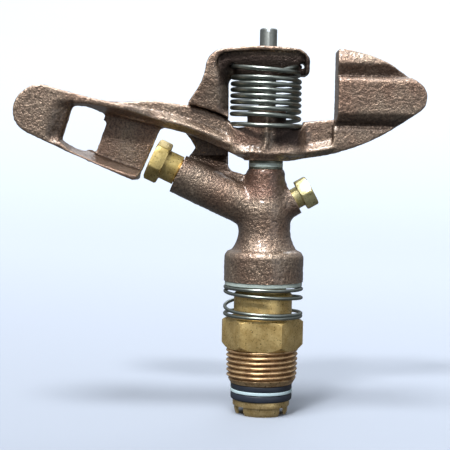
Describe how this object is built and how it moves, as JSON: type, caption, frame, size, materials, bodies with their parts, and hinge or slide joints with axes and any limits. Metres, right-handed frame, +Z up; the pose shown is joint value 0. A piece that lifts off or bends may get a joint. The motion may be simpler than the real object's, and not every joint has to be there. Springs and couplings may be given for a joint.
{
  "type": "impact sprinkler",
  "caption": "Full-circle impact sprinkler with a male inlet thread, a turning bronze body with a range and a spreader nozzle, and a sprung impact arm.",
  "frame": {"origin": "on the turning axis, at the lower face of the inlet nipple, where its male thread starts", "axes": "+Z up along the turning axis, -X towards the spoon and the range nozzle, +X towards the counterweight"},
  "size_m": [0.1494, 0.0294, 0.1418],
  "materials": {
    "bronze": "sand-cast bronze, dull brown with bright grains",
    "thread_brass": "machined brass, slightly coppery",
    "tube_brass": "machined brass",
    "nozzle_brass": "machined brass, pitted on the flats",
    "spreader_brass": "machined brass, pale",
    "spring_steel": "drawn stainless wire, satin",
    "pin_steel": "ground stainless, satin",
    "washer_steel": "stamped stainless, satin",
    "washer_rubber": "dark blue-grey rubber, matte",
    "ptfe": "pale blue-white fluoropolymer, waxy",
    "seat_plastic": "pale grey-green plastic, satin",
    "vane_plastic": "grey moulded plastic"
  },
  "bodies": {
    "inlet": {"inlet_nipple": "thread_brass", "bearing_spring": "spring_steel"},
    "bearing": {"thrust_washer_upper": "washer_rubber", "thrust_washer_ptfe": "ptfe", "thrust_washer_lower": "washer_rubber"},
    "head": {"bearing_tube": "tube_brass", "spring_seat_washer": "seat_plastic", "tube_seal_ring": "washer_rubber", "body_casting": "bronze", "stream_straightener": "vane_plastic", "range_nozzle": "nozzle_brass", "spreader_nozzle": "spreader_brass", "fulcrum_pin": "pin_steel", "arm_washer_lower": "washer_steel", "arm_washer_friction": "seat_plastic", "arm_washer_upper": "washer_steel", "arm_spring": "spring_steel"},
    "arm": {"impact_arm": "bronze", "arm_bush_lower": "tube_brass", "arm_bush_upper": "tube_brass"}
  },
  "joints": [
    {"name": "bearing_float", "type": "slide", "parent": "inlet", "child": "bearing", "axis": [0, 0, 1], "range_m": [-0.0025, 0], "stiffness_N_per_m": 4000, "springref_m": 0.004, "deforming": ["bearing_spring"]},
    {"name": "head_spin", "type": "hinge", "parent": "bearing", "child": "head", "pos_m": [0, 0, 0], "axis": [0, 0, 1], "continuous": true},
    {"name": "arm_swing", "type": "hinge", "parent": "head", "child": "arm", "pos_m": [0, 0, 0.09], "axis": [0, 0, 1], "range_deg": [0, 115], "stiffness_Nm_per_rad": 0.05, "springref_deg": -34.38}
  ]
}
